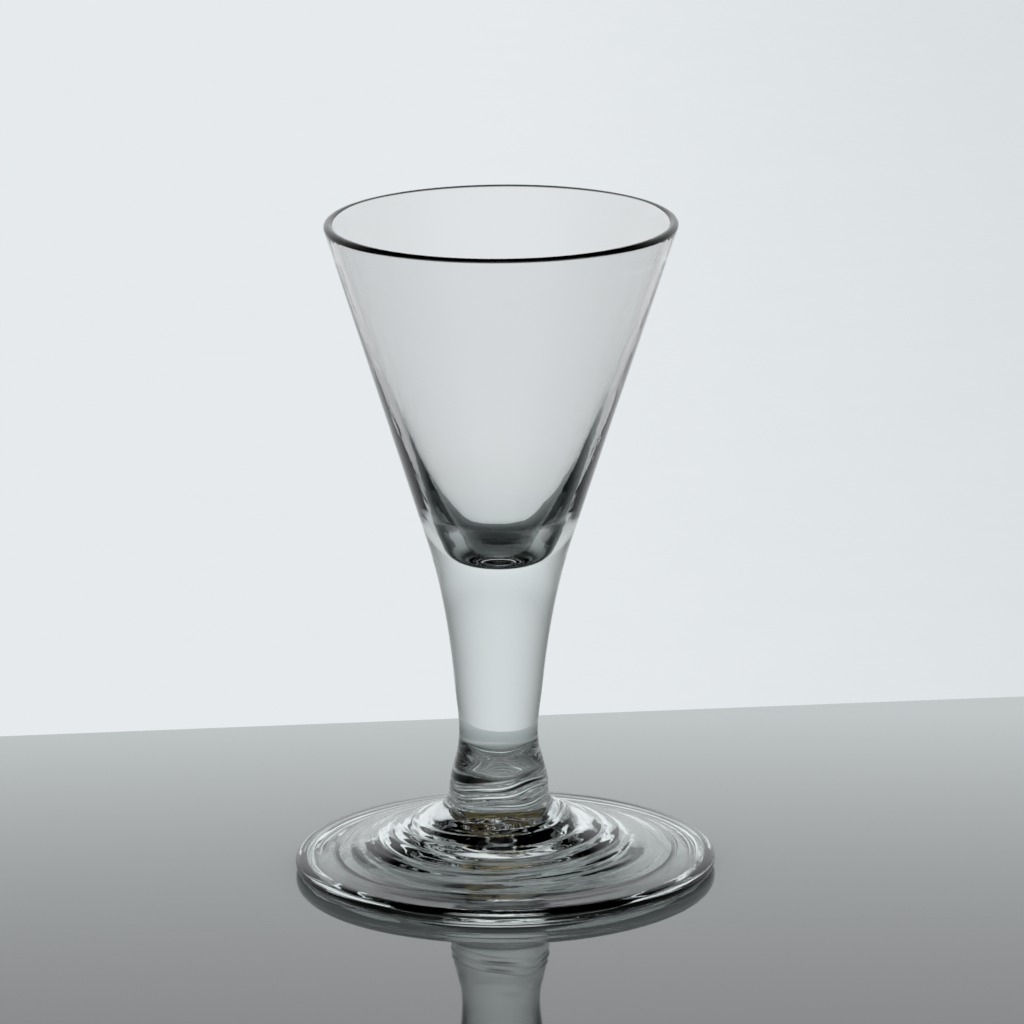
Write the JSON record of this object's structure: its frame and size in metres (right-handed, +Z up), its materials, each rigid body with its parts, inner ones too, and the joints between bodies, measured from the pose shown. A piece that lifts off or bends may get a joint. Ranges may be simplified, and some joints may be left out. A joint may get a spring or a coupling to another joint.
{
  "type": "dram glass",
  "caption": "Small hand-blown drinking glass: a conical bowl drawn down into a solid stem, standing on a conical foot with its edge folded under.",
  "frame": {"origin": "middle of the foot, on the surface that the glass stands on", "axes": "+Z up through the rim; +X to the right as the picture sees the glass, the way the bowl leans; +Y away from the camera"},
  "size_m": [0.0636, 0.0636, 0.1],
  "materials": {
    "bowl_glass": "fire-polished, clear with a faint grey cast",
    "foot_glass": "tool-marked, clear with a faint grey cast",
    "fold_glass": "folded edge, worn where it stands",
    "broken_glass": "rough, snapped off"
  },
  "bodies": {
    "root": {"bowl_and_stem": "bowl_glass", "foot": "foot_glass", "foot_fold": "fold_glass", "pontil_scar": "broken_glass"}
  },
  "joints": []
}
